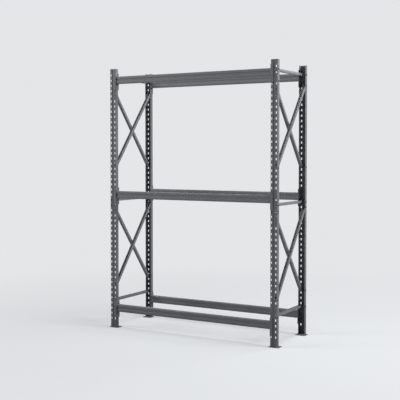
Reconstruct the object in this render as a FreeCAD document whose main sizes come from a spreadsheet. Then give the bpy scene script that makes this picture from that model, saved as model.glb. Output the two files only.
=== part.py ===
import FreeCAD, Part
import math
import os
import Sketcher

# Pallet rack: two braced end frames joined by six hooked beams.
# X runs along the beams, Y from the front to the rear, Z up from the floor.
# The origin is on the floor, in the middle of the rack.

DRIVING_SIZES = [
    ("overall_height", 2500),
    ("bay_pitch", 1710),
    ("frame_depth", 645),
    ("upright_width", 65),
    ("upright_depth", 40),
    ("upright_wall", 2),
    ("upright_bend", 2),
    ("groove_width", 14),
    ("groove_floor", 8),
    ("groove_depth", 3),
    ("slot_width", 10),
    ("slot_height", 20),
    ("slot_pitch", 50),
    ("slot_columns", 42),
    ("slot_first", 90),
    ("slot_end_margin", 55),
    ("foot_width", 100),
    ("foot_depth", 82),
    ("foot_thickness", 4),
    ("foot_overhang", 4),
    ("foot_corner", 6),
    ("anchor_diameter", 14),
    ("beam_height", 70),
    ("beam_depth", 42),
    ("beam_wall", 1.5),
    ("beam_setback", 6),
    ("beam_groove_width", 22),
    ("beam_groove_depth", 3),
    ("connector_thickness", 3),
    ("connector_height", 160),
    ("connector_depth", 50),
    ("connector_leg", 24),
    ("connector_foot", 40),
    ("beam_drop", 34),
    ("hook_count", 3),
    ("hook_width", 7),
    ("hook_neck", 13),
    ("hook_drop", 9),
    ("hook_thickness", 3),
    ("hook_clearance", 0.3),
    ("bottom_beam_step", 1),
    ("bottom_brace_step", 3),
    ("lower_cross_foot_steps", 3),
    ("middle_brace_drop_steps", 0.5),
    ("lower_cross_head_steps", 1),
    ("upper_cross_foot_steps", 6.5),
    ("upper_cross_head_steps", 2),
    ("top_brace_drop_steps", 2),
    ("brace_width", 28),
    ("brace_height", 25),
    ("brace_wall", 1.5),
    ("brace_end", 7),
]

# Heights above the floor that several pieces share, as expressions of the driving sizes.
SLOT_COUNT = (
    "(floor((Sizes.overall_height - Sizes.slot_end_margin - Sizes.slot_first)"
    " / Sizes.slot_pitch) + 1)"
)
TOP_BEAM_STEP = f"({SLOT_COUNT} - Sizes.hook_count)"
MIDDLE_BEAM_STEP = f"floor(({TOP_BEAM_STEP} + Sizes.bottom_beam_step) / 2)"
TOP_BRACE_STEP = f"({SLOT_COUNT} - Sizes.top_brace_drop_steps)"
MIDDLE_BRACE_STEP = f"({MIDDLE_BEAM_STEP} - Sizes.middle_brace_drop_steps)"
BEAM_STEPS = {
    "bottom": "Sizes.bottom_beam_step",
    "middle": MIDDLE_BEAM_STEP,
    "top": TOP_BEAM_STEP,
}
HORIZONTAL_STEPS = {
    "bottom": "Sizes.bottom_brace_step",
    "middle": MIDDLE_BRACE_STEP,
    "top": TOP_BRACE_STEP,
}
CROSS_STEPS = {
    "lower": (
        "(Sizes.bottom_brace_step + Sizes.lower_cross_foot_steps)",
        f"({MIDDLE_BRACE_STEP} - Sizes.lower_cross_head_steps)",
    ),
    "upper": (
        f"({MIDDLE_BRACE_STEP} + Sizes.upper_cross_foot_steps)",
        f"({TOP_BRACE_STEP} - Sizes.upper_cross_head_steps)",
    ),
}
FIXING_DEPTH = "(Sizes.upright_depth / 2)"
FIXING_SPAN = f"(Sizes.frame_depth - 2 * {FIXING_DEPTH})"

# The end frames stand left and right; each has a front and a rear upright.
FRAME_SIDES = {"left": -1, "right": 1}
ROW_SIDES = {"front": -1, "rear": 1}

doc = FreeCAD.newDocument("PalletRackFrame")
sizes = doc.addObject("Spreadsheet::Sheet", "Sizes")
for row, (alias, value) in enumerate(DRIVING_SIZES, start=1):
    sizes.set(f"A{row}", alias.replace("_", " "))
    sizes.set(f"B{row}", str(value))
    sizes.setAlias(f"B{row}", alias)
doc.recompute()

pieces = []


def slot_height_at(step):
    """Height above the floor of the middle of the slot with this step number."""
    return f"(Sizes.slot_first + {step} * Sizes.slot_pitch)"


def fixing_height_at(step):
    """Height above the floor of a brace's end, half a pitch above the slot with this step number."""
    return f"(Sizes.slot_first + ({step} + 0.5) * Sizes.slot_pitch)"


def add_body(label):
    """A new empty piece whose label names its file."""
    body = doc.addObject("PartDesign::Body", label)
    body.Label = label
    pieces.append(body)
    return body


def place(body, x, y, z, turned=False):
    """Put a piece at a point given by expressions, turned half round the upright axis if asked."""
    if turned:
        body.Placement = FreeCAD.Placement(FreeCAD.Vector(), FreeCAD.Rotation(FreeCAD.Vector(0, 0, 1), 180))
    body.setExpression("Placement.Base.x", x)
    body.setExpression("Placement.Base.y", y)
    body.setExpression("Placement.Base.z", z)


def add_sketch(body, name, plane_role, offset=None):
    """A sketch on one of the piece's own origin planes, moved along the plane's normal if asked."""
    sketch = body.newObject("Sketcher::SketchObject", name)
    plane = next(f for f in body.Origin.OriginFeatures if f.Role == plane_role)
    sketch.AttachmentSupport = [(plane, "")]
    sketch.MapMode = "FlatFace"
    if offset is not None:
        sketch.setExpression("AttachmentOffset.Base.z", offset)
    return sketch


def bind(sketch, constraint, expression):
    """Add a dimension to a sketch and tie it to an expression of the driving sizes."""
    index = sketch.addConstraint(constraint)
    name = f"size{index}"
    sketch.renameConstraint(index, name)
    sketch.setExpression(f"Constraints.{name}", expression)


def add_outline(sketch, corners):
    """A closed outline of straight lines; each corner is a pair of expressions.

    The lines start as an even ring, and the dimensions then pull each corner to its place.
    """
    first = sketch.GeometryCount
    count = len(corners)
    ring = []
    for index in range(count):
        angle = 2 * math.pi * index / count
        ring.append(FreeCAD.Vector(math.cos(angle), math.sin(angle), 0))
    for index in range(count):
        line = Part.LineSegment(ring[index], ring[(index + 1) % count])
        sketch.addGeometry(line, False)
    for index in range(count):
        following = first + (index + 1) % count
        sketch.addConstraint(Sketcher.Constraint("Coincident", first + index, 2, following, 1))
    for index, (across, up) in enumerate(corners):
        start = ring[index]
        bind(sketch, Sketcher.Constraint("DistanceX", -1, 1, first + index, 1, start.x), across)
        bind(sketch, Sketcher.Constraint("DistanceY", -1, 1, first + index, 1, start.y), up)


def add_rectangle(sketch, middle_across, middle_up, width, height):
    """A rectangle about a middle point, all given by expressions."""
    left = f"{middle_across} - {width} / 2"
    right = f"{middle_across} + {width} / 2"
    low = f"{middle_up} - {height} / 2"
    high = f"{middle_up} + {height} / 2"
    add_outline(sketch, [(left, low), (right, low), (right, high), (left, high)])


def add_pad(body, sketch, length, both_ways=False):
    """Thicken a sketch into solid metal."""
    pad = body.newObject("PartDesign::Pad", f"{sketch.Name}Pad")
    pad.Profile = sketch
    pad.Midplane = both_ways
    pad.setExpression("Length", length)
    doc.recompute()
    return pad


def add_cut(body, sketch):
    """Punch a sketch right through the metal, both ways from its plane."""
    before = body.Shape.Volume
    cut = body.newObject("PartDesign::Pocket", f"{sketch.Name}Cut")
    cut.Profile = sketch
    cut.Type = "ThroughAll"
    cut.Midplane = True
    doc.recompute()
    if not body.Shape.Volume < before:
        raise RuntimeError(f"{cut.Label} removes nothing from {body.Label}")
    return cut


def add_row(body, feature, sketch, count, spacing):
    """Repeat a feature upwards at an even spacing."""
    pattern = body.newObject("PartDesign::LinearPattern", f"{feature.Name}Row")
    pattern.Originals = [feature]
    pattern.Direction = (sketch, ["V_Axis"])
    pattern.setExpression("Length", f"{spacing} * ({count} - 1)")
    pattern.setExpression("Occurrences", count)
    body.Tip = pattern
    doc.recompute()
    return pattern


def fold_edges(body, across, depth):
    """Names of the upright edges of a piece at one place in its section, on either side."""
    names = []
    for index, edge in enumerate(body.Shape.Edges, start=1):
        start = edge.Vertexes[0].Point
        end = edge.Vertexes[-1].Point
        level = abs(start.z - end.z) < abs(start.x - end.x) + abs(start.y - end.y)
        if level or abs(abs(start.x) - across) > 0.01 or abs(start.y - depth) > 0.01:
            continue
        names.append(f"Edge{index}")
    return names


def add_bend(body, feature, across, depth, radius):
    """Round the folds of a piece that lie at one place in its section."""
    fillet = body.newObject("PartDesign::Fillet", f"Bend{len(body.Group)}")
    fillet.Base = (feature, fold_edges(body, across, depth))
    fillet.setExpression("Radius", radius)
    doc.recompute()
    return fillet


def make_upright(label, x, y, turned):
    """A channel with its web outwards, a groove down the web and two columns of slots.

    Its own frame has the web's outer face at Y = 0, the open side towards +Y and its foot at Z = 0.
    """
    body = add_body(label)
    half = "Sizes.upright_width / 2"
    wall = "Sizes.upright_wall"
    depth = "Sizes.upright_depth"
    mouth = "Sizes.groove_width / 2"
    floor = "Sizes.groove_floor / 2"
    dip = "Sizes.groove_depth"
    lean = "(atan(Sizes.groove_depth / ((Sizes.groove_width - Sizes.groove_floor) / 2)) / 2)"
    shift = f"{wall} * tan({lean})"
    section = add_sketch(body, f"Section_{label}", "XY_Plane")
    add_outline(section, [
        (f"-{half}", depth),
        (f"-{half}", "0"),
        (f"-{mouth}", "0"),
        (f"-{floor}", dip),
        (floor, dip),
        (mouth, "0"),
        (half, "0"),
        (half, depth),
        (f"{half} - {wall}", depth),
        (f"{half} - {wall}", wall),
        (f"{mouth} + {shift}", wall),
        (f"{floor} + {shift}", f"{dip} + {wall}"),
        (f"-{floor} - {shift}", f"{dip} + {wall}"),
        (f"-{mouth} - {shift}", wall),
        (f"-{half} + {wall}", wall),
        (f"-{half} + {wall}", depth),
    ])
    channel = add_pad(body, section, "Sizes.overall_height - Sizes.foot_thickness")
    half_width = sizes.upright_width / 2
    outer_fold = add_bend(body, channel, half_width, 0, "Sizes.upright_bend + Sizes.upright_wall")
    add_bend(body, outer_fold, half_width - sizes.upright_wall, sizes.upright_wall, "Sizes.upright_bend")

    slots = add_sketch(body, f"Slots_{label}", "XZ_Plane")
    first = "Sizes.slot_first - Sizes.foot_thickness"
    for side in (-1, 1):
        add_rectangle(slots, f"{side} * Sizes.slot_columns / 2", first, "Sizes.slot_width", "Sizes.slot_height")
    slot_pair = add_cut(body, slots)
    add_row(body, slot_pair, slots, SLOT_COUNT, "Sizes.slot_pitch")
    place(body, x, y, "Sizes.foot_thickness", turned)


def make_foot_plate(label, x, y, turned):
    """The flat plate under an upright, with clipped corners and one anchor hole inside the frame."""
    body = add_body(label)
    half = "Sizes.foot_width / 2"
    front = "-Sizes.foot_overhang"
    back = "(Sizes.foot_depth - Sizes.foot_overhang)"
    corner = "Sizes.foot_corner"
    plan = add_sketch(body, f"Plan_{label}", "XY_Plane")
    add_outline(plan, [
        (f"-{half} + {corner}", front),
        (f"{half} - {corner}", front),
        (half, f"{front} + {corner}"),
        (half, f"{back} - {corner}"),
        (f"{half} - {corner}", back),
        (f"-{half} + {corner}", back),
        (f"-{half}", f"{back} - {corner}"),
        (f"-{half}", f"{front} + {corner}"),
    ])
    add_pad(body, plan, "Sizes.foot_thickness")
    anchor = add_sketch(body, f"Anchor_{label}", "XY_Plane")
    anchor.addGeometry(Part.Circle(FreeCAD.Vector(0, 1, 0), FreeCAD.Vector(0, 0, 1), 1), False)
    anchor.addConstraint(Sketcher.Constraint("PointOnObject", 0, 3, -2))
    bind(anchor, Sketcher.Constraint("DistanceY", -1, 1, 0, 3, 1), f"(Sizes.upright_depth + {back}) / 2")
    bind(anchor, Sketcher.Constraint("Diameter", 0, 2), "Sizes.anchor_diameter")
    add_cut(body, anchor)
    place(body, x, y, "0", turned)


def make_beam(label, y, z, turned):
    """A hollow box beam with a long groove in its outer face, which is at Y = 0 in its own frame."""
    body = add_body(label)
    wall = "Sizes.beam_wall"
    depth = "Sizes.beam_depth"
    height = "Sizes.beam_height"
    dip = "Sizes.beam_groove_depth"
    low = "(Sizes.beam_height - Sizes.beam_groove_width) / 2"
    high = "(Sizes.beam_height + Sizes.beam_groove_width) / 2"
    shift = f"{wall} * tan(22.5)"
    section = add_sketch(body, f"Section_{label}", "YZ_Plane")
    add_outline(section, [
        ("0", "0"),
        (depth, "0"),
        (depth, height),
        ("0", height),
        ("0", high),
        (dip, f"{high} - {dip}"),
        (dip, f"{low} + {dip}"),
        ("0", low),
    ])
    add_outline(section, [
        (wall, wall),
        (f"{depth} - {wall}", wall),
        (f"{depth} - {wall}", f"{height} - {wall}"),
        (wall, f"{height} - {wall}"),
        (wall, f"{high} + {shift}"),
        (f"{dip} + {wall}", f"{high} - {dip} + {shift}"),
        (f"{dip} + {wall}", f"{low} + {dip} - {shift}"),
        (wall, f"{low} - {shift}"),
    ])
    length = "Sizes.bay_pitch - Sizes.upright_width - 2 * Sizes.connector_thickness"
    add_pad(body, section, length, both_ways=True)
    place(body, "0", y, z, turned)


def make_connector(label, x, y, z, turned, bay_side):
    """A folded angle plate round the bay-side corner of an upright, with a row of hooks in its slots.

    It has the same frame as the upright that carries it, but with its lower edge at Z = 0.
    """
    body = add_body(label)
    near = f"{bay_side} * Sizes.upright_width / 2"
    far = f"{bay_side} * (Sizes.upright_width / 2 + Sizes.connector_thickness)"
    tip = f"{bay_side} * (Sizes.upright_width / 2 - Sizes.connector_leg)"
    front = "-Sizes.connector_thickness"
    plan = add_sketch(body, f"Plan_{label}", "XY_Plane")
    add_outline(plan, [
        (tip, front),
        (far, front),
        (far, "Sizes.connector_depth"),
        (near, "Sizes.connector_depth"),
        (near, "0"),
        (tip, "0"),
    ])
    angle = add_pad(body, plan, "Sizes.connector_height")
    corner = sizes.upright_width / 2 + sizes.connector_thickness
    add_bend(body, angle, corner, -sizes.connector_thickness, "Sizes.connector_thickness")

    seat = "Sizes.connector_foot - Sizes.slot_height / 2"
    web = "Sizes.upright_wall + Sizes.hook_clearance"
    back = f"{web} + Sizes.hook_thickness"
    side_view = add_sketch(body, f"Hook_{label}", "YZ_Plane", f"{bay_side} * Sizes.slot_columns / 2")
    add_outline(side_view, [
        ("0", seat),
        (web, seat),
        (web, f"{seat} - Sizes.hook_drop"),
        (back, f"{seat} - Sizes.hook_drop"),
        (back, f"{seat} + Sizes.hook_neck"),
        ("0", f"{seat} + Sizes.hook_neck"),
    ])
    hook = add_pad(body, side_view, "Sizes.hook_width", both_ways=True)
    add_row(body, hook, side_view, "Sizes.hook_count", "Sizes.slot_pitch")
    place(body, x, y, z, turned)


def make_brace(label, x, height_front, height_rear):
    """A channel, open upwards, between a front and a rear fixing point of one end frame.

    It runs along Y in its own frame, and lies with one flange against the uprights' flanges.
    """
    body = add_body(label)
    half = "Sizes.brace_width / 2"
    low = "-Sizes.brace_height / 2"
    high = "Sizes.brace_height / 2"
    wall = "Sizes.brace_wall"
    rise = f"({height_rear} - {height_front})"
    span = f"sqrt({FIXING_SPAN}^2 + {rise}^2)"
    section = add_sketch(body, f"Section_{label}", "XZ_Plane")
    add_outline(section, [
        (f"-{half}", low),
        (half, low),
        (half, high),
        (f"{half} - {wall}", high),
        (f"{half} - {wall}", f"{low} + {wall}"),
        (f"-{half} + {wall}", f"{low} + {wall}"),
        (f"-{half} + {wall}", high),
        (f"-{half}", high),
    ])
    add_pad(body, section, f"{span} + 2 * Sizes.brace_end", both_ways=True)
    body.Placement = FreeCAD.Placement(FreeCAD.Vector(), FreeCAD.Rotation(FreeCAD.Vector(1, 0, 0), 0))
    body.setExpression("Placement.Rotation.Angle", f"atan({rise} / {FIXING_SPAN})")
    place(body, x, "0", f"({height_front} + {height_rear}) / 2")


def upright_place(frame_sign, row_sign):
    """X and Y expressions of the middle of an upright's outer face."""
    return f"{frame_sign} * Sizes.bay_pitch / 2", f"{row_sign} * Sizes.frame_depth / 2"


def make_end_frame(frame_name, frame_sign):
    """Two uprights on foot plates with their braces; both frames are alike, not mirrored."""
    for row_name, row_sign in ROW_SIDES.items():
        x, y = upright_place(frame_sign, row_sign)
        turned = row_sign > 0
        make_upright(f"upright_{row_name}_{frame_name}", x, y, turned)
        make_foot_plate(f"foot_plate_{row_name}_{frame_name}", x, y, turned)

    seat = "(Sizes.upright_width / 2 - Sizes.upright_wall - Sizes.brace_width / 2)"
    left_x = f"({frame_sign} * Sizes.bay_pitch / 2 - {seat})"
    right_x = f"({frame_sign} * Sizes.bay_pitch / 2 + {seat})"
    for level, step in HORIZONTAL_STEPS.items():
        height = fixing_height_at(step)
        make_brace(f"horizontal_brace_{level}_{frame_name}", left_x, height, height)
    for panel, (foot_step, head_step) in CROSS_STEPS.items():
        foot = fixing_height_at(foot_step)
        head = fixing_height_at(head_step)
        make_brace(f"falling_brace_{panel}_{frame_name}", left_x, head, foot)
        make_brace(f"rising_brace_{panel}_{frame_name}", right_x, foot, head)


def make_beams():
    """Front and rear beams at each level, each with a connector at either end."""
    for level, step in BEAM_STEPS.items():
        foot = f"({slot_height_at(step)} - Sizes.connector_foot)"
        underside = f"({foot} + Sizes.connector_height - Sizes.beam_drop - Sizes.beam_height)"
        for row_name, row_sign in ROW_SIDES.items():
            turned = row_sign > 0
            face = f"{row_sign} * (Sizes.frame_depth / 2 - Sizes.beam_setback)"
            make_beam(f"beam_{level}_{row_name}", face, underside, turned)
            for frame_name, frame_sign in FRAME_SIDES.items():
                x, y = upright_place(frame_sign, row_sign)
                label = f"connector_{level}_{row_name}_{frame_name}"
                make_connector(label, x, y, foot, turned, bay_side=frame_sign * row_sign)


for frame_name, frame_sign in FRAME_SIDES.items():
    make_end_frame(frame_name, frame_sign)
make_beams()
doc.recompute()

for item in doc.Objects:
    if "Invalid" in item.State or "Error" in item.State:
        raise RuntimeError(f"{item.Label} failed to build: {item.State}")
for piece in pieces:
    if piece.Shape.isNull() or not piece.Shape.isValid() or len(piece.Shape.Solids) != 1:
        raise RuntimeError(f"{piece.Label} is not one sound solid")

os.makedirs("parts", exist_ok=True)
for piece in pieces:
    piece.Shape.exportStep(f"parts/{piece.Label}.step")
print(f"{len(pieces)} pieces written")
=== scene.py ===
"""Dresses the pallet rack frame: punched uprights, rolled beams, braces, bolts, welds and powder coat."""

import logging
import math
from dataclasses import dataclass, field
from enum import Enum

import bpy
import numpy as np
from bpy.types import Material, Node, NodeSocket, NodeTree, Object
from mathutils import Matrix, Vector


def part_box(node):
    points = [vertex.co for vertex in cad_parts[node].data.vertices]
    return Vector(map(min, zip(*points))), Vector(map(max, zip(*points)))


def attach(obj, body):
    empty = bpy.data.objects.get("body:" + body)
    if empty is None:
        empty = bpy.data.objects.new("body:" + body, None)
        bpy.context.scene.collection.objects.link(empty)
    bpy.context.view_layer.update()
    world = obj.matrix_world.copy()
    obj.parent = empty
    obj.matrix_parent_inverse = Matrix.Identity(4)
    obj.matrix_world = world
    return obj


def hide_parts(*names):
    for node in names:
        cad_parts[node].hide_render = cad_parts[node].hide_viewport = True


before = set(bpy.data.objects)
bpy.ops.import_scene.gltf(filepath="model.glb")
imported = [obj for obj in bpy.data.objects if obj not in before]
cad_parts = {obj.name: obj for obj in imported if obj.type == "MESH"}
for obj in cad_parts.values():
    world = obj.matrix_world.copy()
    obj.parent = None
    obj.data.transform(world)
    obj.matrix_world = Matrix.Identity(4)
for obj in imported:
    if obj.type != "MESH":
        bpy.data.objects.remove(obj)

log = logging.getLogger("rack")

MM = 0.001

Colour = tuple[float, float, float]
Place = tuple[float, float, float]
Range = tuple[float, float]
Inputs = dict[str | int, NodeSocket | float | tuple[float, ...]]


class Side(Enum):
    """Left and right, by the sign of X: the two end frames, and the two flanges of an upright."""

    LEFT = -1
    RIGHT = 1


class Row(Enum):
    """The front and the rear of the rack, by the sign of their Y."""

    FRONT = -1
    REAR = 1

    def face(self, node: str) -> float:
        """The Y of that face of a CAD node in this row which looks out of the rack."""
        low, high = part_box(node)
        return low.y if self is Row.FRONT else high.y


class Level(Enum):
    """The three levels of beams and of horizontal braces, from the floor up."""

    BOTTOM = 0
    MIDDLE = 1
    TOP = 2


class Panel(Enum):
    """The two crossed pairs of braces in an end frame, from the floor up."""

    LOWER = 0
    UPPER = 1


class Slot(Enum):
    """The record's material slots, which the log names for each new piece."""

    UPRIGHT = "upright_paint"
    BEAM = "beam_paint"
    BRACE = "brace_paint"


class Fade(Enum):
    """How a value goes from one end of its range to the other."""

    EVEN = "LINEAR"
    SMOOTH = "SMOOTHSTEP"


def word(choice: Enum) -> str:
    """The lower-case word that a side, row, level or panel has in the names of pieces."""
    return choice.name.lower()


@dataclass
class Surface:
    """The vertices and faces of one piece, gathered from several grids.

    Attributes:
        points: Arrays of vertices, each n by 3, in metres.
        faces: Arrays of vertex numbers, each n by the corners of a face.
        count: How many vertices there are so far.
    """

    points: list[np.ndarray] = field(default_factory=list)
    faces: list[np.ndarray] = field(default_factory=list)
    count: int = 0

    def add_points(self, points: np.ndarray) -> np.ndarray:
        """Adds vertices and gives back their numbers.

        Args:
            points: Any array whose last axis holds X, Y and Z.

        Returns:
            The new vertex numbers, in the array's own shape without its last axis.
        """
        numbers = self.count + np.arange(points[..., 0].size).reshape(points.shape[:-1])
        self.points.append(points.reshape(-1, 3))
        self.count += numbers.size
        return numbers

    def add_faces(self, faces: np.ndarray, flipped: bool = False) -> None:
        """Adds faces given by vertex numbers.

        Args:
            faces: An array whose last axis is one face's corners in turn.
            flipped: True turns the faces to point the other way.
        """
        rows = faces.reshape(-1, faces.shape[-1])
        self.faces.append(rows[:, ::-1] if flipped else rows)

    def make(self, name: str, smooth_degrees: float = 35.0) -> Object:
        """Makes the Blender object, with only the vertices that a face uses.

        Args:
            name: The piece's name.
            smooth_degrees: Edges that turn more than this stay sharp.

        Returns:
            The new object, at the origin.
        """
        corners = np.concatenate([rows.ravel() for rows in self.faces])
        sizes = np.concatenate([np.full(len(rows), rows.shape[1]) for rows in self.faces])
        used, corners = np.unique(corners, return_inverse=True)
        points = np.concatenate(self.points)[used]
        mesh = bpy.data.meshes.new(name)
        mesh.vertices.add(len(points))
        mesh.vertices.foreach_set("co", points.astype(np.float32).ravel())
        mesh.loops.add(len(corners))
        mesh.loops.foreach_set("vertex_index", corners.astype(np.int32))
        mesh.polygons.add(len(sizes))
        starts = np.concatenate([[0], np.cumsum(sizes)[:-1]])
        mesh.polygons.foreach_set("loop_start", starts.astype(np.int32))
        mesh.polygons.foreach_set("loop_total", sizes.astype(np.int32))
        mesh.polygons.foreach_set("use_smooth", np.ones(len(sizes), dtype=bool))
        mesh.update(calc_edges=True)
        mesh.validate()
        mesh.set_sharp_from_angle(angle=math.radians(smooth_degrees))
        piece = bpy.data.objects.new(name, mesh)
        bpy.context.scene.collection.objects.link(piece)
        return piece


def grid_faces(numbers: np.ndarray, wrap_rows: bool = False, wrap_columns: bool = False) -> np.ndarray:
    """Quads between neighbouring rows and columns of a grid of vertex numbers.

    Args:
        numbers: Vertex numbers, rows by columns.
        wrap_rows: True joins the last row to the first.
        wrap_columns: True joins the last column to the first.

    Returns:
        Quads as rows by columns by 4, which face along column direction cross row direction.
    """
    if wrap_rows:
        numbers = np.concatenate([numbers, numbers[:1]], axis=0)
    if wrap_columns:
        numbers = np.concatenate([numbers, numbers[:, :1]], axis=1)
    return np.stack([numbers[:-1, :-1], numbers[:-1, 1:], numbers[1:, 1:], numbers[1:, :-1]], axis=-1)


def ring_faces(first: np.ndarray, second: np.ndarray) -> np.ndarray:
    """Quads between two closed rings of vertex numbers that run side by side.

    Args:
        first: One ring's numbers along the last axis. The axis before it holds more rings.
        second: The other ring's numbers, in the same shape.

    Returns:
        Quads along one more axis, with two corners on the first ring and then two on the second.
    """
    return np.stack([first, np.roll(first, -1, -1), np.roll(second, -1, -1), second], axis=-1)


@dataclass
class Outline:
    """A plane line of straight runs and arcs, with the direction that is outside at each point.

    Attributes:
        points: Points along the line, n by 2.
        outward: Unit vectors to the right of the direction of travel, n by 2.
    """

    points: np.ndarray
    outward: np.ndarray

    @staticmethod
    def rounded(
        corners: list[tuple[float, float]], radii: list[float], closed: bool, chords: int
    ) -> "Outline":
        """Rounds the corners of a line by arcs of the given radii.

        At a corner that turns by an angle t, the arc of radius r begins r tan(t / 2) before it. Its
        points are the arc's centre plus r times the right-hand unit vector, turned evenly through t.

        Args:
            corners: The line's corners in turn.
            radii: One radius for each corner that is rounded: all of them, or all but the two ends.
            closed: True joins the last corner to the first.
            chords: How many chords make up each arc.

        Returns:
            The rounded line.
        """
        line = np.array(corners, dtype=float)
        radius = np.array(radii, dtype=float)[:, None, None]
        if closed:
            before, at, after = np.roll(line, 1, axis=0), line, np.roll(line, -1, axis=0)
        else:
            before, at, after = line[:-2], line[1:-1], line[2:]
        into = (at - before) / np.linalg.norm(at - before, axis=1, keepdims=True)
        out = (after - at) / np.linalg.norm(after - at, axis=1, keepdims=True)
        turn = np.arctan2(into[:, 0] * out[:, 1] - into[:, 1] * out[:, 0], np.sum(into * out, axis=1))
        start = at - into * radius[:, 0] * np.tan(np.abs(turn) / 2)[:, None]
        share = np.linspace(0, 1, chords + 1)
        heading = np.arctan2(into[:, 1], into[:, 0])[:, None] + turn[:, None] * share
        right = np.stack([np.sin(heading), -np.cos(heading)], axis=-1)
        bend = np.sign(turn)[:, None, None] * radius
        points = start[:, None, :] + bend * (right - right[:, :1])
        points, right = points.reshape(-1, 2), right.reshape(-1, 2)
        if not closed:
            points = np.concatenate([line[:1], points, line[-1:]])
            right = np.concatenate([right[:1], right, right[-1:]])
        return Outline(points, right)

    def lengths(self) -> np.ndarray:
        """The distance along the line to each of its points."""
        return np.concatenate([[0.0], np.cumsum(np.linalg.norm(np.diff(self.points, axis=0), axis=1))])

    def at(self, distances: np.ndarray) -> "Outline":
        """The line's points at given distances, straight between its own points.

        Args:
            distances: How far along the line they are, in an array of any shape.

        Returns:
            Points and outward directions in that shape, with one more axis for their coordinates.
        """
        own = self.lengths()
        points = np.stack([np.interp(distances, own, self.points[:, axis]) for axis in (0, 1)], axis=-1)
        outward = np.stack([np.interp(distances, own, self.outward[:, axis]) for axis in (0, 1)], axis=-1)
        return Outline(points, outward / np.linalg.norm(outward, axis=-1, keepdims=True))


def add_bar(
    surface: Surface, section: np.ndarray, across: np.ndarray, up: np.ndarray, ends: np.ndarray
) -> None:
    """Carries a closed section along a straight line, and closes both ends with one face each.

    A point is end + a * across + b * up, where a and b are the section's coordinates.

    Args:
        surface: Where the faces go.
        section: The section's points in turn, n by 2. They may run either way round.
        across: The section's first direction.
        up: The section's second direction.
        ends: The first and last point of the line, 2 by 3.
    """
    ring = section[:, :1] * across + section[:, 1:] * up
    numbers = surface.add_points(ends[:, None, :] + ring[None])
    area = np.sum(section[:, 0] * np.roll(section[:, 1], -1) - section[:, 1] * np.roll(section[:, 0], -1))
    runs_back = bool(np.dot(np.cross(across, up), ends[1] - ends[0]) * area < 0)
    surface.add_faces(grid_faces(numbers, wrap_columns=True), flipped=runs_back)
    surface.add_faces(numbers[:1, ::-1], flipped=runs_back)
    surface.add_faces(numbers[1:], flipped=runs_back)


def merge(piece: Object, reach: float = 0.01 * MM) -> None:
    """Merges the vertices of a piece that lie within a reach of each other."""
    piece.modifiers.new("Merge", "WELD").merge_threshold = reach


def soften(piece: Object, width: float, segments: int, sharp_degrees: float = 40.0) -> None:
    """Rounds a piece's sharp edges by a bevel.

    Args:
        piece: The object.
        width: The bevel's width in metres.
        segments: How many faces go round each edge.
        sharp_degrees: Edges that turn more than this are rounded.
    """
    bevel = piece.modifiers.new("Edges", "BEVEL")
    bevel.width = width
    bevel.segments = segments
    bevel.limit_method = "ANGLE"
    bevel.angle_limit = math.radians(sharp_degrees)


def opaque(colour: Colour, factor: float = 1.0) -> tuple[float, ...]:
    """A colour times a factor, with the fourth number that a colour socket takes."""
    return tuple(channel * factor for channel in colour) + (1.0,)


def new_material(name: str) -> Material:
    """Makes a material that has nodes.

    Args:
        name: Its name.

    Returns:
        The new material.
    """
    material = bpy.data.materials.new(name)
    material.use_nodes = True
    return material


@dataclass
class Shading:
    """Adds shader nodes to one node tree, and links them.

    Attributes:
        tree: The node tree of a material or a world.
    """

    tree: NodeTree

    def feed(self, node: Node, inputs: Inputs) -> None:
        """Sets a node's inputs.

        Args:
            node: The node.
            inputs: For each input, by name or number, a constant or the socket that it reads.
        """
        for name, value in inputs.items():
            if isinstance(value, NodeSocket):
                self.tree.links.new(value, node.inputs[name])
            else:
                node.inputs[name].default_value = value

    def add(self, kind: str, output: str, inputs: Inputs | None = None, **settings: str) -> NodeSocket:
        """Adds one node.

        Args:
            kind: The node's type, without the word ShaderNode that it begins with.
            output: The name of the output that is used.
            inputs: What its inputs get, as for feed.
            settings: The node's own settings, such as its operation.

        Returns:
            The output's socket.
        """
        node = self.tree.nodes.new(f"ShaderNode{kind}")
        for name, value in settings.items():
            setattr(node, name, value)
        self.feed(node, inputs or {})
        return node.outputs[output]

    def times(self, first: NodeSocket, second: NodeSocket) -> NodeSocket:
        """The product of two values."""
        return self.add("Math", "Value", {0: first, 1: second}, operation="MULTIPLY")

    def ramp(self, value: NodeSocket, ends: Range, results: Range, fade: Fade = Fade.EVEN) -> NodeSocket:
        """Turns one range of a value into another, and keeps what is beyond its ends at them.

        Args:
            value: The value.
            ends: The range's two ends.
            results: What they become.
            fade: How it goes between them.

        Returns:
            The result.
        """
        inputs = {
            "Value": value,
            "From Min": ends[0],
            "From Max": ends[1],
            "To Min": results[0],
            "To Max": results[1],
        }
        return self.add("MapRange", "Result", inputs, interpolation_type=fade.value)

    def direct_sight(self) -> NodeSocket:
        """Adds nodes that tell what is looked at, straight, mirrored or through glass, from light.

        Returns:
            1 for what is looked at, and 0 for light.
        """
        seen = self.add("LightPath", "Is Camera Ray")
        for name in ("Is Glossy Ray", "Is Transmission Ray"):
            other = self.add("LightPath", name)
            seen = self.add("Math", "Value", {0: seen, 1: other}, operation="MAXIMUM")
        return seen


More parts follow.
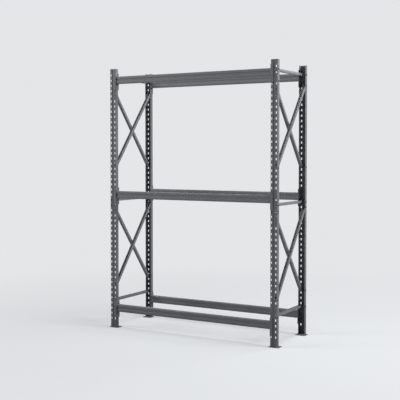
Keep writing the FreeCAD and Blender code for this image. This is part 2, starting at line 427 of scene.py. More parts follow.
@dataclass(frozen=True)
class Mottle:
    """One layer of a finish: noise, and how strongly it shows.

    Attributes:
        grain: The size of its spots in metres.
        amount: How strongly it shows.
        detail: How many finer layers it has.
        fineness: How strong each finer layer is beside the one before.
    """

    grain: float
    amount: float
    detail: float
    fineness: float = 0.55

    def noise(self, shading: Shading, place: NodeSocket) -> NodeSocket:
        """Adds the layer's noise.

        Args:
            shading: The material's nodes.
            place: The place on the object.

        Returns:
            The noise there, from 0 to 1.
        """
        inputs = {
            "Vector": place,
            "Scale": 1 / self.grain,
            "Detail": self.detail,
            "Roughness": self.fineness,
        }
        return shading.add("TexNoise", "Fac", inputs)

    def tint(self, shading: Shading, noise: NodeSocket, colour: Colour) -> NodeSocket:
        """A colour that the noise makes darker or lighter by the layer's amount."""
        shades = {"A": opaque(colour, 1 - self.amount), "B": opaque(colour, 1 + self.amount)}
        return shading.add("Mix", "Result", {"Factor": noise, **shades}, data_type="RGBA")


@dataclass(frozen=True)
class PowderCoat:
    """Sprayed and baked satin paint: slight colour drift, cloudy gloss and a fine orange-peel skin.

    Attributes:
        name: The material's name.
        colour: The paint's colour, linear.
        roughness: The mean roughness.
        specular: The strength of its gloss.
        drift: Broad change of colour over the piece.
        cloud: Change of gloss.
        peel: The orange-peel skin, whose amount is the bump's strength.
        peel_depth: The skin's depth in metres.
        dust: A little pale dust on faces that look up, from 0 to 1.
        dust_colour: The dust's colour, linear.
        dust_slope: The upward part of a face's normal where dust begins, and where it is full.
        dulling: The roughness that full dust adds, as a multiple of the dust.
        corner: How far the painted shade reaches out of corners and gaps, in metres.
        corner_shade: How much of the paint's colour is left where that painted shade is full.
        corner_shade_range: How open a spot is where the painted shade is full, and where it ends, from 0
            to 1.
        floor_shade: How much of the paint's colour is left near the floor, under the painted shade there.
        floor_shade_height: The heights between which that painted shade fades out, in metres.
    """

    name: str
    colour: Colour
    roughness: float = 0.54
    specular: float = 0.36
    drift: Mottle = Mottle(grain=0.22, amount=0.16, detail=4.0)
    cloud: Mottle = Mottle(grain=0.035, amount=0.10, detail=3.0)
    peel: Mottle = Mottle(grain=0.0016, amount=0.10, detail=1.0)
    peel_depth: float = 0.2 * MM
    dust: float = 0.10
    dust_colour: Colour = (0.36, 0.35, 0.33)
    dust_slope: Range = (0.75, 1.0)
    dulling: float = 3.5
    # Painted shade in corners and gaps, from ambient occlusion.
    corner: float = 0.012
    corner_shade: float = 0.45
    corner_shade_range: Range = (0.3, 0.95)
    # Painted shade that darkens the colour towards the floor.
    floor_shade: float = 0.7
    floor_shade_height: Range = (0.10, 0.42)

    def material(self) -> Material:
        """Makes the node material.

        Colour is the paint's colour between a darker and a lighter shade by broad noise, with dust on
        faces that look up, painted shade in corners and gaps, and painted shade towards the floor.
        Roughness follows finer noise and rises under dust, and bump follows the finest.

        Returns:
            The new material.
        """
        material = new_material(self.name)
        shading = Shading(material.node_tree)
        place = shading.add("TexCoord", "Object")
        cloudy = self.cloud.noise(shading, place)
        paint = self.drift.tint(shading, self.drift.noise(shading, place), self.colour)
        facing = shading.add("SeparateXYZ", "Z", {"Vector": shading.add("NewGeometry", "Normal")})
        dust = shading.ramp(facing, self.dust_slope, (0.0, self.dust))
        dusting = {"Factor": shading.times(dust, cloudy), "A": paint, "B": opaque(self.dust_colour)}
        dusty = shading.add("Mix", "Result", dusting, data_type="RGBA")
        # Painted shade: ambient occlusion darkens the colour in corners and gaps, where shade falls.
        open_air = shading.add("AmbientOcclusion", "AO", {"Distance": self.corner})
        free_of_corner_shade = shading.ramp(open_air, self.corner_shade_range, (self.corner_shade, 1.0))
        # Painted shade: the colour darkens towards the floor.
        height = shading.add("SeparateXYZ", "Z", {"Vector": place})
        free_of_floor_shade = shading.ramp(height, self.floor_shade_height, (self.floor_shade, 1.0), Fade.SMOOTH)
        soiling = {0: dusty, "Scale": shading.times(free_of_corner_shade, free_of_floor_shade)}
        gloss_range = (self.roughness - self.cloud.amount, self.roughness + self.cloud.amount)
        dulled = {0: dust, 1: self.dulling, 2: shading.ramp(cloudy, (0.0, 1.0), gloss_range)}
        skin_height = self.peel.noise(shading, place)
        skin = {"Height": skin_height, "Strength": self.peel.amount, "Distance": self.peel_depth}
        finish = {
            "Base Color": shading.add("VectorMath", "Vector", soiling, operation="SCALE"),
            "Roughness": shading.add("Math", "Value", dulled, operation="MULTIPLY_ADD"),
            "Normal": shading.add("Bump", "Normal", skin),
            "Specular IOR Level": self.specular,
        }
        shading.feed(material.node_tree.nodes["Principled BSDF"], finish)
        return material


@dataclass(frozen=True)
class BlackZinc:
    """The dark plated finish of the bolts and nuts: metal with patchy gloss.

    Attributes:
        name: The material's name.
        colour: The metal's colour, linear.
        patches: Its patches of colour and gloss.
        gloss: The least and the most roughness.
    """

    name: str
    colour: Colour = (0.055, 0.055, 0.058)
    patches: Mottle = Mottle(grain=0.004, amount=0.3, detail=3.0, fineness=0.5)
    gloss: Range = (0.30, 0.52)

    def material(self) -> Material:
        """Makes the node material, whose colour and roughness follow one noise.

        Returns:
            The new material.
        """
        material = new_material(self.name)
        shading = Shading(material.node_tree)
        patchy = self.patches.noise(shading, shading.add("TexCoord", "Object"))
        finish = {
            "Base Color": self.patches.tint(shading, patchy, self.colour),
            "Roughness": shading.ramp(patchy, (0.0, 1.0), self.gloss),
            "Metallic": 1.0,
        }
        shading.feed(material.node_tree.nodes["Principled BSDF"], finish)
        return material


def dress(piece: Object, material: Material) -> None:
    """Gives a piece one material in place of any it has."""
    piece.data.materials.clear()
    piece.data.materials.append(material)


def fit_in(piece: Object, paint: Material, slot: Slot, *nodes: str) -> None:
    """Paints a new piece, and lets it ride on the rack and stand for its CAD nodes.

    Args:
        piece: The new piece.
        paint: Its material.
        slot: The record's material slot, which is only named in the log.
        nodes: The CAD nodes that it stands for, if any.
    """
    dress(piece, paint)
    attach(piece, "root")
    if nodes:
        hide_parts(*nodes)
    log.info("%s: %d faces, %s", piece.name, len(piece.data.polygons), slot.value)


@dataclass
class Upright:
    """A roll-formed channel with a grooved web and columns of punched slots.

    Two columns are in the web. A front upright has a third one, in its left flange.

    Attributes:
        side: The end frame it belongs to.
        row: Front or rear.
        width: Across the web, in metres, as are all sizes.
        depth: From the web's face to the flanges' free edges.
        wall: The steel's thickness.
        bend: The outside radius of the two folds.
        groove_mouth: The groove's width at the web's face.
        groove_floor: Its width at the bottom.
        groove_depth: How deep it is.
        groove_fold: The inner radius of its folds.
        chords: How many chords make up a fold.
        edge: The width of the rounded edges.
        slot_width: A slot's width.
        slot_height: A slot's height.
        slot_corner: The radius of its corners.
        column_offset: From the web's middle to a column of slots.
        flange_column: From the web's face to the column of slots in the flange.
        flange_slot_width: The width of the slots there.
        bolted: The numbers of the slots that are left out there, where a brace is bolted.
        first_slot: The height of the lowest slot's middle.
        slot_pitch: From slot to slot.
        slot_count: How many slots a column has.
        panel_margin: How far the mesh is refined beyond a slot's long sides.
        panel_height: The height of the refined panel round a slot.
        cells_across: How many of the mesh's cells lie across a panel.
        cells_up: How many lie up it.
        decimals: The decimals of a metre to which the mesh's columns are placed, so that equal ones meet.
        hair: A distance much less than any cell's width.
    """

    side: Side
    row: Row
    width: float = 65 * MM
    depth: float = 40 * MM
    wall: float = 2 * MM
    bend: float = 4 * MM
    groove_mouth: float = 14 * MM
    groove_floor: float = 8 * MM
    groove_depth: float = 3 * MM
    groove_fold: float = 1 * MM
    chords: int = 5
    edge: float = 0.3 * MM
    slot_width: float = 10 * MM
    slot_height: float = 20 * MM
    slot_corner: float = 2 * MM
    column_offset: float = 21 * MM
    flange_column: float = 19 * MM
    flange_slot_width: float = 22 * MM
    bolted: tuple[int, ...] = (22, 23)
    first_slot: float = 90 * MM
    slot_pitch: float = 50 * MM
    slot_count: int = 48
    panel_margin: float = 2.5 * MM
    panel_height: float = 30 * MM
    cells_across: int = 4
    cells_up: int = 6
    decimals: int = 7
    hair: float = 0.001 * MM

    @property
    def node(self) -> str:
        """The CAD node that this upright stands for."""
        return f"upright_{word(self.row)}_{word(self.side)}"

    def section(self) -> Outline:
        """The outer line of the section, from one flange's free edge round the web to the other's.

        The first coordinate runs across the web and the second from the web's face inwards. The two
        folds have the outer radius, and the groove's four folds an outer and an inner one in turn.

        Returns:
            The open line.
        """
        half, mouth, floor = self.width / 2, self.groove_mouth / 2, self.groove_floor / 2
        corners = [
            (-half, self.depth), (-half, 0.0), (-mouth, 0.0), (-floor, self.groove_depth),
            (floor, self.groove_depth), (mouth, 0.0), (half, 0.0), (half, self.depth),
        ]
        small = self.groove_fold
        large = small + self.wall
        radii = [self.bend, large, small, small, large, self.bend]
        return Outline.rounded(corners, radii, closed=False, chords=self.chords)

    def columns(self, line: Outline) -> tuple[np.ndarray, np.ndarray]:
        """Where the columns of slots are.

        Args:
            line: The section's outer line.

        Returns:
            The distance along the section to each column's middle, and the width of its slots.
        """
        lengths = line.lengths()
        fold_end = lengths[1 + self.chords]
        web = fold_end + (self.width / 2 - self.bend) - self.column_offset
        middles = [web, lengths[-1] - web]
        widths = [self.slot_width, self.slot_width]
        if self.row is Row.FRONT:
            middles.insert(0, self.depth - self.flange_column)
            widths.insert(0, self.flange_slot_width)
        return np.array(middles), np.array(widths)

    def slot_loop(self, width: float) -> np.ndarray:
        """Points round a slot, from its lower left corner, as offsets along the section and up.

        They are as many as the cells round the slot's panel: one on each rounded corner, and on each
        side one less than the cells along it.

        Args:
            width: The slot's width.

        Returns:
            The offsets, n by 2.
        """
        half, tall, corner = width / 2, self.slot_height / 2, self.slot_corner
        cut = corner * (1 - math.sqrt(0.5))
        short = np.linspace(-half + corner, half - corner, self.cells_across - 1)
        long = np.linspace(-tall + corner, tall - corner, self.cells_up - 1)
        lower = np.stack([short, np.full_like(short, -tall)], axis=-1)
        right = np.stack([np.full_like(long, half), long], axis=-1)
        lower_left = np.array([[-half + cut, -tall + cut]])
        lower_right = np.array([[half - cut, -tall + cut]])
        half_loop = np.concatenate([lower_left, lower, lower_right, right])
        return np.concatenate([half_loop, -half_loop])

    def panel_border(self) -> tuple[np.ndarray, np.ndarray]:
        """The points of a panel's border in turn, from its lower left corner, beside a slot's loop.

        Returns:
            How many cells each is across from that corner, and how many up.
        """
        across, up = np.arange(self.cells_across), np.arange(self.cells_up)
        right, left = np.full_like(up, self.cells_across), np.zeros_like(up)
        lower, upper = np.zeros_like(across), np.full_like(across, self.cells_up)
        steps_across = np.concatenate([across, right, self.cells_across - across, left])
        steps_up = np.concatenate([lower, up, upper, self.cells_up - up])
        return steps_across, steps_up

    def mesh_lines(
        self, line: Outline, middles: np.ndarray, panels: np.ndarray, slots: np.ndarray
    ) -> tuple[np.ndarray, np.ndarray]:
        """Where the lines of the skins' grid run: at the section's points and across the slots' panels.

        Args:
            line: The section's outer line.
            middles: The distance along it to the middle of each column of slots.
            panels: The width of the panels in each column.
            slots: The height of each slot's middle.

        Returns:
            The distances along the section and the heights, both in rising order.
        """
        across = middles[:, None] + panels[:, None] * np.linspace(-0.5, 0.5, self.cells_across + 1)
        stations = np.concatenate([line.lengths(), across.ravel()])
        upward = np.linspace(-0.5, 0.5, self.cells_up + 1) * self.panel_height
        low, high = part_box(self.node)
        heights = np.concatenate([[low.z], (slots[:, None] + upward).ravel(), [high.z]])
        return np.unique(np.round(stations, self.decimals)), heights

    def punched(self, columns: int) -> tuple[np.ndarray, np.ndarray]:
        """Lists the slots that are punched: all of them, less those where a brace is bolted.

        Args:
            columns: How many columns of slots there are.

        Returns:
            Each slot's number, from the floor up, and its column.
        """
        is_punched = np.ones((self.slot_count, columns), dtype=bool)
        if self.row is Row.FRONT:
            is_punched[list(self.bolted), 0] = False
        return np.nonzero(is_punched)

    def surface(self) -> Surface:
        """The punched channel: two skins a wall apart, joined round the slots and along all edges.

        Each skin is a grid of distance along the section by height. Round each slot, the grid's cells
        are left out, and a ring of quads joins the gap's border to the slot's loop. A skin's point is
        the section's point less the skin's depth times the outward direction.

        Returns:
            The channel's surface.
        """
        line = self.section()
        middles, widths = self.columns(line)
        panels = widths + 2 * self.panel_margin
        slots = self.first_slot + self.slot_pitch * np.arange(self.slot_count)
        stations, heights = self.mesh_lines(line, middles, panels, slots)
        number, column = self.punched(len(middles))

        # The lowest row and the first column of the cells in each slot's panel, which are left out.
        panel_row = 1 + (self.cells_up + 1) * number
        panel_column = np.searchsorted(stations, middles - panels / 2 - self.hair)[column]
        rows = panel_row[:, None, None] + np.arange(self.cells_up)[:, None]
        kept = np.ones((len(heights) - 1, len(stations) - 1), dtype=bool)
        kept[rows, panel_column[:, None, None] + np.arange(self.cells_across)] = False

        border_across, border_up = self.panel_border()
        loop = np.stack([self.slot_loop(width) for width in widths])[column]
        loop_line = line.at(middles[column, None] + loop[..., 0])
        loop_heights = slots[number, None] + loop[..., 1]
        flip = self.row is Row.REAR
        out = Surface()
        skins, rims = [], []
        for depth in (0.0, self.wall):
            skin = out.add_points(self.placed(line.at(stations), depth, heights[:, None]))
            rim = out.add_points(self.placed(loop_line, depth, loop_heights))
            border = skin[panel_row[:, None] + border_up, panel_column[:, None] + border_across]
            turned = flip != (depth > 0)
            out.add_faces(grid_faces(skin)[kept], flipped=turned)
            out.add_faces(ring_faces(border, rim), flipped=turned)
            skins.append(skin)
            rims.append(rim)

        # The slots' walls, and then the channel's upper, lower and two free edges.
        out.add_faces(ring_faces(*rims), flipped=flip)
        both = np.stack(skins)
        out.add_faces(grid_faces(both[:, -1]), flipped=flip)
        out.add_faces(grid_faces(both[:, 0]), flipped=not flip)
        out.add_faces(grid_faces(both[:, :, 0]), flipped=flip)
        out.add_faces(grid_faces(both[:, :, -1]), flipped=not flip)
        return out

    def placed(self, line: Outline, depth: float, heights: np.ndarray) -> np.ndarray:
        """Points of one skin in the rack's frame.

        Args:
            line: The section's points and outward directions.
            depth: How far the skin lies under the outer one.
            heights: The points' heights, of a shape that fits the section's points.

        Returns:
            Points whose last axis is X, Y and Z.
        """
        flat = line.points - depth * line.outward
        across, inward, up = np.broadcast_arrays(flat[..., 0], flat[..., 1], heights)
        low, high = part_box(self.node)
        middle = (low.x + high.x) / 2
        return np.stack([middle + across, self.row.face(self.node) - self.row.value * inward, up], axis=-1)

    def build(self, paint: Material) -> None:
        """Makes the punched upright and puts it in its node's place.

        Args:
            paint: Its finish.
        """
        piece = self.surface().make(f"punched_{self.node}")
        soften(piece, self.edge, 1)
        fit_in(piece, paint, Slot.UPRIGHT, self.node)


@dataclass
class Beam:
    """A rolled box beam with rounded corners, a groove along its outer face and a shallow one inside.

    Attributes:
        level: The beam level.
        row: Front or rear.
        corner: The radius of the four corners.
        groove_width: The groove's width at the face.
        groove_depth: How deep it is.
        inner_depth: How deep the inner face's groove is.
        groove_fold: The radius of the grooves' folds.
        chords: How many chords make up a fold.
    """

    level: Level
    row: Row
    corner: float = 4 * MM
    groove_width: float = 22 * MM
    groove_depth: float = 3 * MM
    inner_depth: float = 1.5 * MM
    groove_fold: float = 1.6 * MM
    chords: int = 5

    @property
    def node(self) -> str:
        """The CAD node that this beam stands for."""
        return f"beam_{word(self.level)}_{word(self.row)}"

    def section(self) -> np.ndarray:
        """The outer line of the section, from the outer face inwards and from the underside up.

        Returns:
            The closed line's points, n by 2.
        """
        low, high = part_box(self.node)
        deep, tall = high.y - low.y, high.z - low.z
        lower, upper = (tall - self.groove_width) / 2, (tall + self.groove_width) / 2
        dip, dent = self.groove_depth, self.inner_depth
        corners = [
            (0.0, 0.0), (deep, 0.0),
            (deep, lower), (deep - dent, lower + dent), (deep - dent, upper - dent), (deep, upper),
            (deep, tall), (0.0, tall),
            (0.0, upper), (dip, upper - dip), (dip, lower + dip), (0.0, lower),
        ]
        radii = ([self.corner] * 2 + [self.groove_fold] * 4) * 2
        return Outline.rounded(corners, radii, closed=True, chords=self.chords).points

    def build(self, paint: Material) -> None:
        """Makes the beam, its section carried from end to end, and puts it in its node's place.

        Args:
            paint: Its finish.
        """
        low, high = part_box(self.node)
        face = self.row.face(self.node)
        ends = np.array([[low.x, face, low.z], [high.x, face, low.z]])
        inward = np.array([0.0, -float(self.row.value), 0.0])
        surface = Surface()
        add_bar(surface, self.section(), inward, np.array([0.0, 0.0, 1.0]), ends)
        fit_in(surface.make(f"rolled_{self.node}"), paint, Slot.BEAM, self.node)


@dataclass
class Brace:
    """A small rolled channel, open upwards, between a front and a rear upright of one end frame.

    Attributes:
        node: The CAD node that it stands for.
        lane: Which flanges of the uprights it lies against, the left or the right ones.
        front: The height of its front fixing point.
        rear: The height of its rear fixing point.
        fixing: From the rack's middle plane to a fixing point, along Y.
        end: How far it runs on past its fixing points.
        width: Across the channel.
        height: How tall the channel is.
        wall: The steel's thickness.
        fold: The inner radius of its two folds.
        rim: The radius of its free edges' corners.
        chords: How many chords make up a fold.
    """

    node: str
    lane: Side
    front: float
    rear: float
    fixing: float = 302.5 * MM
    end: float = 7 * MM
    width: float = 28 * MM
    height: float = 25 * MM
    wall: float = 1.5 * MM
    fold: float = 1.5 * MM
    rim: float = 0.3 * MM
    chords: int = 4

    def section(self) -> np.ndarray:
        """The line of the channel's section, about its middle, open upwards.

        Returns:
            The closed line's points, n by 2.
        """
        half, tall, wall = self.width / 2, self.height / 2, self.wall
        corners = [
            (-half, -tall), (half, -tall), (half, tall), (half - wall, tall),
            (half - wall, -tall + wall), (-half + wall, -tall + wall), (-half + wall, tall), (-half, tall),
        ]
        outer, rims = self.fold + wall, [self.rim] * 2
        radii = [outer, outer, *rims, self.fold, self.fold, *rims]
        return Outline.rounded(corners, radii, closed=True, chords=self.chords).points

    def build(self, paint: Material) -> None:
        """Makes the brace, its section carried along the line through its fixing points.

        Args:
            paint: Its finish.
        """
        low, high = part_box(self.node)
        middle = (low.x + high.x) / 2
        run = np.array([0.0, 2 * self.fixing, self.rear - self.front])
        along = run / np.linalg.norm(run)
        points = np.array([[middle, -self.fixing, self.front], [middle, self.fixing, self.rear]])
        ends = points + np.array([[-self.end], [self.end]]) * along
        across = np.array([1.0, 0.0, 0.0])
        surface = Surface()
        add_bar(surface, self.section(), across, np.cross(across, along), ends)
        fit_in(surface.make(f"rolled_{self.node}"), paint, Slot.BRACE, self.node)


@dataclass
class BraceBolts:
    """The hexagon bolts and nuts of one end frame, one pair at each brace end.

    Each head sits outside the frame's outer flange. The nut sits inside the brace, and where the
    brace lies against the far flange, a spacer tube fills the channel between.

    Attributes:
        side: The end frame they belong to.
        braces: The braces that they hold.
        across_flats: The size of head and nut.
        head: The head's height.
        nut: The nut's height.
        shank: The bolt's diameter.
        tube: The spacer's diameter.
        tail: How far the shank stands out of the nut.
        chamfer: The height of the chamfers on head, nut and shank.
        crown: The top of head and nut, as a share of their size.
        point: The shank's tip, as a share of its diameter.
        turns: How many points go round a bolt.
        half_width: From the upright's middle to the outside of a flange.
        flange: The thickness of an upright's flange.
    """

    side: Side
    braces: list[Brace]
    across_flats: float = 13 * MM
    head: float = 5.3 * MM
    nut: float = 6.5 * MM
    shank: float = 8 * MM
    tube: float = 13 * MM
    tail: float = 3 * MM
    chamfer: float = 0.8 * MM
    crown: float = 0.86
    point: float = 0.8
    turns: int = 24
    half_width: float = 32.5 * MM
    flange: float = 2 * MM

    def rings(self, spacer: float, wall: float) -> np.ndarray:
        """A bolt's outline as rings from the head's top to the shank's tip.

        Args:
            spacer: The length of the spacer tube, or 0.
            wall: The thickness of the brace.

        Returns:
            One row for each ring: its distance along the bolt, its radius, and 1 for a hexagon or 0
            for a round one.
        """
        flat, core, sleeve = self.across_flats / 2, self.shank / 2, self.tube / 2
        crown, edge = self.crown * flat, self.chamfer
        far = self.flange + spacer
        seat = far + wall
        top = seat + self.nut
        tip = top + self.tail
        head = [(-self.head, 0.0, 0), (-self.head, crown, 0), (-self.head + edge, flat, 1), (0.0, flat, 1)]
        middle = [(0.0, core, 0), (self.flange, core, 0)]
        if spacer > 0:
            middle += [(self.flange, sleeve, 0), (far, sleeve, 0), (far, core, 0)]
        nut = [(seat, core, 0), (seat, flat, 1), (top - edge, flat, 1), (top, crown, 0), (top, core, 0)]
        end = [(tip - edge, core, 0), (tip, self.point * core, 0), (tip, 0.0, 0)]
        return np.array(head + middle + nut + end)

    def solid(self, spacer: float, wall: float) -> np.ndarray:
        """One bolt with its axis along X, as a grid of rings by turn.

        A ring's radius is r for a round ring and r / cos(turn from the nearest flat) for a hexagon.

        Args:
            spacer: The length of the spacer tube, or 0.
            wall: The thickness of the brace.

        Returns:
            The points, rings by turns by 3.
        """
        along, radius, six = self.rings(spacer, wall).T
        turn = np.arange(self.turns) * math.tau / self.turns
        from_flat = (turn + math.pi / 6) % (math.pi / 3) - math.pi / 6
        reach = radius[:, None] * np.where(six[:, None] > 0, 1 / np.cos(from_flat), 1.0)
        depth = np.repeat(along[:, None], self.turns, axis=1)
        return np.stack([depth, reach * np.cos(turn), reach * np.sin(turn)], axis=-1)

    def build(self, plating: Material) -> None:
        """Makes all the frame's bolts as one piece, each at a brace's fixing point.

        Args:
            plating: Their finish.
        """
        surface = Surface()
        outward = self.side.value
        inner = 2 * (self.half_width - self.flange)
        for brace in self.braces:
            low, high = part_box(brace.node)
            spacer = 0.0 if brace.lane is self.side else inner - brace.width
            edge = (high.x if outward > 0 else low.x) + outward * (spacer + self.flange)
            bolt = self.solid(spacer, brace.wall)
            for depth, height in ((-brace.fixing, brace.front), (brace.fixing, brace.rear)):
                place = np.array([edge, depth, height])
                numbers = surface.add_points(place + bolt * np.array([-outward, 1.0, 1.0]))
                surface.add_faces(grid_faces(numbers, wrap_columns=True), flipped=outward < 0)
        piece = surface.make(f"brace_bolts_{word(self.side)}")
        merge(piece)
        fit_in(piece, plating, Slot.BRACE)


@dataclass(frozen=True)
class WeldBead:
    """A painted weld bead: a rippled tube carried along a line in a corner.

    Attributes:
        radius: The bead's mean radius.
        ripple: How much the radius swells and shrinks, as a share.
        pitch: From one ripple to the next.
        rings: How many rings of points a ripple has.
        turns: How many points go round a ring.
    """

    radius: float = 2.0 * MM
    ripple: float = 0.12
    pitch: float = 3.5 * MM
    rings: int = 4
    turns: int = 8

    def add(self, surface: Surface, path: np.ndarray, closed: bool) -> None:
        """Adds one bead along a path.

        The path is first walked evenly, ring by ring. Each ring stands square to the path, and its
        radius is the mean one times 1 + ripple * sin(walk). An open bead's ends are rounded off. The
        path is flat, and its plane's normal is the direction in which its points spread least.

        Args:
            surface: Where the faces go.
            path: The line's corner points, n by 3.
            closed: True joins the last point to the first.
        """
        line = np.concatenate([path, path[:1]]) if closed else path
        walk = np.concatenate([[0.0], np.cumsum(np.linalg.norm(np.diff(line, axis=0), axis=1))])
        count = int(walk[-1] / (self.pitch / self.rings))
        steps = np.linspace(0.0, walk[-1], count, endpoint=not closed)
        points = np.stack([np.interp(steps, walk, line[:, axis]) for axis in range(3)], axis=-1)
        if closed:
            ahead = np.roll(points, -1, axis=0) - np.roll(points, 1, axis=0)
        else:
            ahead = np.gradient(points, axis=0)
        ahead = ahead / np.linalg.norm(ahead, axis=1, keepdims=True)
        flat = np.linalg.svd(line - line.mean(axis=0))[2][2]
        beside = np.cross(ahead, flat)
        radius = self.radius * (1 + self.ripple * np.sin(steps * math.tau / self.pitch))
        if not closed:
            taper = np.minimum(np.minimum(steps, walk[-1] - steps) / self.radius, 1.0)
            radius = radius * np.sqrt(np.maximum(1 - (1 - taper) ** 2, 0.0))
        turn = np.arange(self.turns) * math.tau / self.turns
        ring = np.cos(turn)[None, :, None] * beside[:, None, :] + np.sin(turn)[None, :, None] * flat
        numbers = surface.add_points(points[:, None, :] + radius[:, None, None] * ring)
        surface.add_faces(grid_faces(numbers, wrap_rows=closed, wrap_columns=True))


@dataclass
class BeamWelds:
    """The weld beads round both ends of one beam, in the corner with its connectors.

    Attributes:
        beam: The beam.
        bead: The bead's form.
        inset: How far in from the beam's ends the beads' middle lines lie.
    """

    beam: Beam
    bead: WeldBead = WeldBead()
    inset: float = 0.4 * MM

    def build(self, paint: Material) -> None:
        """Makes both beads: the beam's section line, at either end of the beam.

        Args:
            paint: Their finish.
        """
        low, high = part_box(self.beam.node)
        section = self.beam.section()
        y = self.beam.row.face(self.beam.node) - self.beam.row.value * section[:, 0]
        surface = Surface()
        for x in (low.x + self.inset, high.x - self.inset):
            path = np.stack([np.full(len(section), x), y, low.z + section[:, 1]], axis=-1)
            self.bead.add(surface, path, closed=True)
        piece = surface.make(f"beam_welds_{word(self.beam.level)}_{word(self.beam.row)}")
        fit_in(piece, paint, Slot.BEAM)


@dataclass
class FootWeld:
    """The weld bead round the foot of one upright, on its foot plate.

    Attributes:
        upright: The upright.
        bead: The bead's form.
        lift: How far above the upright's lower end the bead's middle line lies.
    """

    upright: Upright
    bead: WeldBead = WeldBead(radius=2.2 * MM)
    lift: float = 0.5 * MM

    def build(self, paint: Material) -> None:
        """Makes the bead along the upright's outer section line, just on the plate.

        Args:
            paint: Its finish.
        """
        low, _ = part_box(self.upright.node)
        line = self.upright.section()
        path = self.upright.placed(line, 0.0, np.full(len(line.points), low.z + self.lift))
        surface = Surface()
        self.bead.add(surface, path, closed=False)
        piece = surface.make(f"foot_weld_{word(self.upright.row)}_{word(self.upright.side)}")
        fit_in(piece, paint, Slot.UPRIGHT)


@dataclass
class EndFrame:
    """One end frame's braces: three level ones and two crossed pairs.

    Attributes:
        side: Left or right.
        level_heights: The heights of the level braces.
        panels: The lower and upper height of each crossed pair's fixing points.
    """

    side: Side
    level_heights: dict[Level, float] = field(
        default_factory=lambda: {Level.BOTTOM: 265 * MM, Level.MIDDLE: 1240 * MM, Level.TOP: 2415 * MM}
    )
    panels: dict[Panel, tuple[float, float]] = field(
        default_factory=lambda: {Panel.LOWER: (415 * MM, 1190 * MM), Panel.UPPER: (1565 * MM, 2315 * MM)}
    )

    def braces(self) -> list[Brace]:
        """Lists the frame's braces, each with its node, lane and fixing heights.

        Returns:
            The level braces, and then the crossed ones.
        """
        name = word(self.side)
        found = [
            Brace(f"horizontal_brace_{word(level)}_{name}", Side.LEFT, front=height, rear=height)
            for level, height in self.level_heights.items()
        ]
        for panel, (foot, head) in self.panels.items():
            found.append(Brace(f"falling_brace_{word(panel)}_{name}", Side.LEFT, front=head, rear=foot))
            found.append(Brace(f"rising_brace_{word(panel)}_{name}", Side.RIGHT, front=foot, rear=head))
        return found

    def build(self, paint: Material, plating: Material) -> None:
        """Makes the braces and their bolts.

        Args:
            paint: The braces' finish.
            plating: The bolts' finish.
        """
        braces = self.braces()
        for brace in braces:
            brace.build(paint)
        BraceBolts(self.side, braces).build(plating)


@dataclass
class KeptNodes:
    """The CAD nodes that stay as they are, with rounded edges and paint.

    Attributes:
        start: How the nodes' names begin.
        edge: The width of the rounded edges.
        segments: How many faces go round each edge.
    """

    start: str
    edge: float
    segments: int = 2

    def build(self, paint: Material) -> None:
        """Softens and paints every node whose name begins as given.

        Args:
            paint: Their finish.
        """
        for name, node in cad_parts.items():
            if name.startswith(self.start):
                merge(node)
                soften(node, self.edge, self.segments)
                dress(node, paint)
                log.info("%s: CAD node kept", name)


@dataclass(frozen=True)
class Lamp:
    """A soft square lamp.

    Attributes:
        name: The lamp's name.
        place: Where it hangs.
        size: Its side in metres.
        power: Its power in watts.
        aim: The point near the object's middle that it looks at.
    """

    name: str
    place: Place
    size: float
    power: float
    aim: Place = (0.0, 0.0, 1.2)

    def build(self) -> None:
        """Hangs the lamp, tipped from straight down and then turned until it looks at its aim."""
        data = bpy.data.lights.new(self.name, "AREA")
        data.size = self.size
        data.energy = self.power
        lamp = bpy.data.objects.new(self.name, data)
        lamp.location = self.place
        x, y, z = (aim - own for aim, own in zip(self.aim, self.place))
        lamp.rotation_euler = (math.atan2(math.hypot(x, y), -z), 0.0, math.atan2(y, x) - math.pi / 2)
        bpy.context.scene.collection.objects.link(lamp)


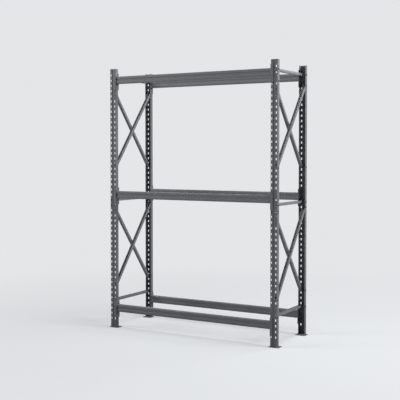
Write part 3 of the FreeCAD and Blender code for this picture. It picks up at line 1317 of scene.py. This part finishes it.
@dataclass
class Studio:
    """The pale floor, the soft light and the camera.

    Attributes:
        backdrop: The colour that the camera sees round the object, linear.
        ambient: The strength of the light from all round.
        floor_size: Half the floor's side, in metres.
        floor_lines: How many lines of its mesh run each way.
        floor_paint: The colour of the floor's real paint, linear.
        shadow: How much of the floor's look near the object is real paint, which takes its shadow.
        shadow_fade: The distances from the object's middle between which that paint fades out.
        lamps: The lamps.
        camera_place: The camera's place.
        camera_yaw: How far it is turned to the left of straight ahead, in degrees.
        camera_tilt: How far it looks down, in degrees.
        lens: Its focal length in mm.
        sensor: Its sensor's width in mm.
        camera_shift: How far its view is moved up, as a share of the picture's width.
        sight: How far it sees, in metres.
    """

    backdrop: Colour = (0.775, 0.790, 0.805)
    ambient: float = 0.11
    floor_size: float = 30.0
    floor_lines: int = 3
    floor_paint: Colour = (0.372, 0.385, 0.392)
    shadow: float = 0.5
    shadow_fade: Range = (0.8, 5.0)
    lamps: tuple[Lamp, ...] = (
        Lamp("front_left", (-11.5, -8.6, 8.0), size=6.0, power=2200.0),
        Lamp("right", (7.0, 1.0, 5.5), size=3.5, power=820.0),
        Lamp("rear", (6.0, 9.0, 7.0), size=5.0, power=800.0),
        Lamp("above", (1.7, -0.4, 8.5), size=1.6, power=560.0),
    )
    camera_place: Place = (3.979, -6.935, 1.690)
    camera_yaw: float = 30.291
    camera_tilt: float = 2.0
    lens: float = 75.963
    sensor: float = 36.0
    camera_shift: float = -0.043
    sight: float = 200.0

    def world(self) -> None:
        """Makes the world: even light for the object, and the backdrop's colour for what sees it."""
        world = bpy.data.worlds.new("studio")
        bpy.context.scene.world = world
        world.use_nodes = True
        world.node_tree.nodes.clear()
        shading = Shading(world.node_tree)
        white = opaque((1.0, 1.0, 1.0))
        light = shading.add("Background", "Background", {"Color": white, "Strength": self.ambient})
        seen = shading.add("Background", "Background", {"Color": opaque(self.backdrop)})
        choice = shading.add("MixShader", "Shader", {"Fac": shading.direct_sight(), 1: light, 2: seen})
        shading.feed(world.node_tree.nodes.new("ShaderNodeOutputWorld"), {"Surface": choice})

    def floor_material(self) -> Material:
        """Makes the floor's material: paint near the object, and the backdrop's colour further out.

        Returns:
            The new material.
        """
        material = new_material("pale_floor")
        material.node_tree.nodes.clear()
        shading = Shading(material.node_tree)
        paint = shading.add("BsdfDiffuse", "BSDF", {"Color": opaque(self.floor_paint)})
        glow = shading.add("Emission", "Emission", {"Color": opaque(self.backdrop)})
        place = shading.add("TexCoord", "Object")
        distance = shading.add("VectorMath", "Value", {0: place}, operation="LENGTH")
        far = shading.ramp(distance, self.shadow_fade, (1 - self.shadow, 1.0), Fade.SMOOTH)
        share = shading.times(far, shading.direct_sight())
        mixed = shading.add("MixShader", "Shader", {"Fac": share, 1: paint, 2: glow})
        shading.feed(material.node_tree.nodes.new("ShaderNodeOutputMaterial"), {"Surface": mixed})
        return material

    def floor(self) -> None:
        """Makes the floor, a flat square grid that takes a faint shadow near the object."""
        reach = np.linspace(-self.floor_size, self.floor_size, self.floor_lines)
        x, y = np.meshgrid(reach, reach)
        surface = Surface()
        surface.add_faces(grid_faces(surface.add_points(np.stack([x, y, np.zeros_like(x)], axis=-1))))
        plane = surface.make("floor")
        dress(plane, self.floor_material())

    def camera(self) -> None:
        """Makes the camera at the photograph's angle."""
        data = bpy.data.cameras.new("camera")
        data.sensor_fit = "HORIZONTAL"
        data.sensor_width = self.sensor
        data.lens = self.lens
        data.shift_y = self.camera_shift
        data.clip_end = self.sight
        camera = bpy.data.objects.new("camera", data)
        camera.location = self.camera_place
        camera.rotation_euler = (math.radians(90 - self.camera_tilt), 0.0, math.radians(self.camera_yaw))
        bpy.context.scene.collection.objects.link(camera)
        bpy.context.scene.camera = camera

    def build(self) -> None:
        """Makes the world, the floor, the lamps and the camera."""
        bpy.context.scene.view_settings.view_transform = "Standard"
        self.world()
        self.floor()
        for lamp in self.lamps:
            lamp.build()
        self.camera()


def main() -> None:
    """Builds the dressed rack and its studio, in order, and reports each piece."""
    logging.basicConfig(level=logging.INFO, format="%(message)s")
    charcoal = (0.093, 0.097, 0.103)
    slate = (0.076, 0.0795, 0.085)
    upright_paint = PowderCoat("upright_powder_coat", slate).material()
    beam_paint = PowderCoat("beam_powder_coat", charcoal, roughness=0.52).material()
    # The connectors get a long reach of painted shade, which darkens their side plates beside the beam.
    connector_coat = PowderCoat("connector_powder_coat", charcoal, roughness=0.56, corner=0.06, corner_shade=0.2)
    connector_paint = connector_coat.material()
    brace_drift = Mottle(grain=0.12, amount=0.16, detail=4.0)
    # The braces get only a faint painted shade in their corners.
    brace_coat = PowderCoat("brace_powder_coat", charcoal, drift=brace_drift, corner_shade=0.9)
    brace_paint = brace_coat.material()
    plating = BlackZinc("black_zinc").material()
    Studio().build()
    for side in Side:
        for row in Row:
            upright = Upright(side, row)
            upright.build(upright_paint)
            FootWeld(upright).build(upright_paint)
        EndFrame(side).build(brace_paint, plating)
    for level in Level:
        for row in Row:
            beam = Beam(level, row)
            beam.build(beam_paint)
            BeamWelds(beam).build(beam_paint)
    KeptNodes("connector_", edge=0.5 * MM).build(connector_paint)
    KeptNodes("foot_plate_", edge=0.6 * MM).build(upright_paint)


if __name__ == "__main__":
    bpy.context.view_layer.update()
    main()
